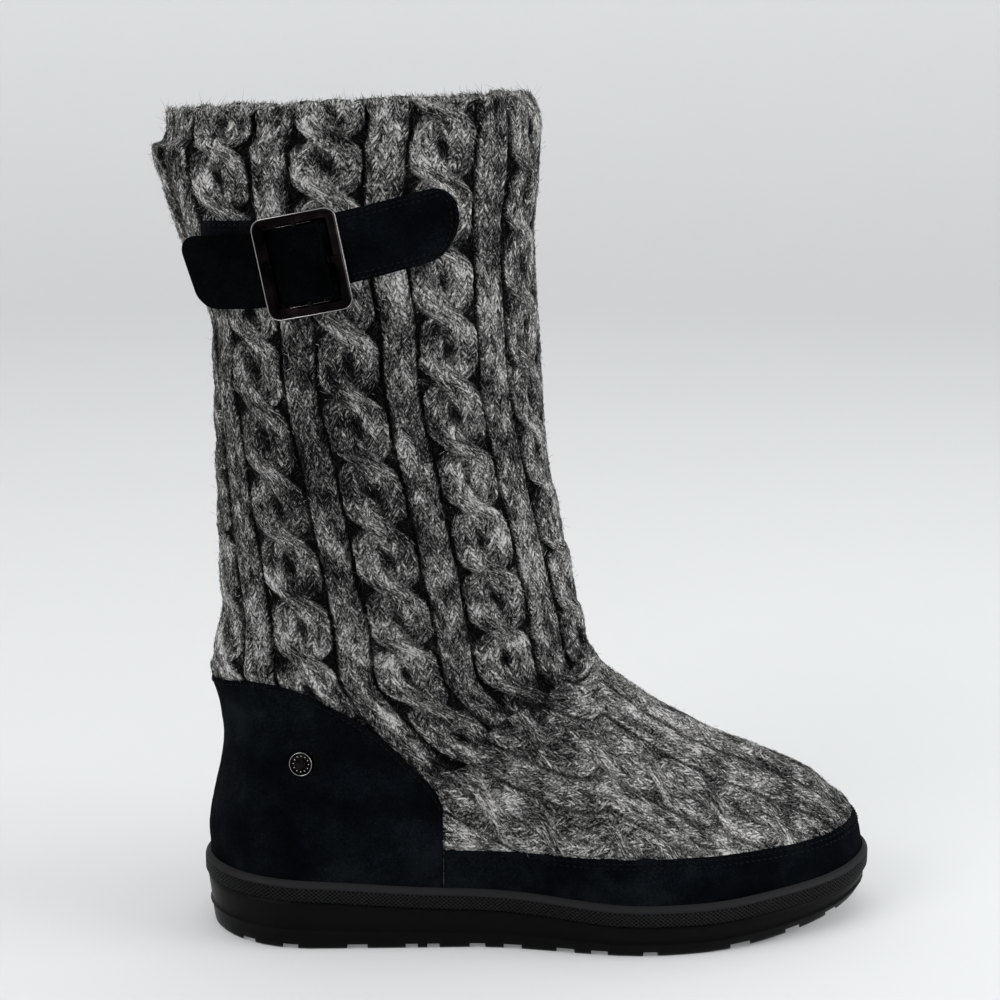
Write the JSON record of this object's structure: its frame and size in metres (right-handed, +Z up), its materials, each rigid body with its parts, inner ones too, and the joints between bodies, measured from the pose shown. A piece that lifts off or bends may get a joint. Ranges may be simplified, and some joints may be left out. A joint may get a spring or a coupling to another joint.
{
  "type": "winter boot",
  "caption": "Right winter boot: cable-knit upper with suede counter, toe rand and buckled strap, on a flat rubber sole with a knurled band.",
  "frame": {"origin": "on the floor, under the middle of the heel seat", "axes": "+X towards the toe, +Z up, -Y the outer side of the right foot"},
  "size_m": [0.2878, 0.1049, 0.3354],
  "materials": {
    "sole_rubber": "satin black",
    "band_rubber": "knurled, satin dark grey",
    "fleece": "soft pile",
    "knit": "marled grey and black knit",
    "suede": "napped black",
    "gunmetal": "polished dark"
  },
  "bodies": {
    "root": {"outsole": "sole_rubber", "foxing_band": "band_rubber", "insole": "fleece", "upper": "knit", "heel_counter": "suede", "toe_rand": "suede", "strap_base": "suede", "strap_tip": "suede", "buckle_frame": "gunmetal", "buckle_prong": "gunmetal", "counter_stud": "gunmetal"}
  },
  "joints": []
}
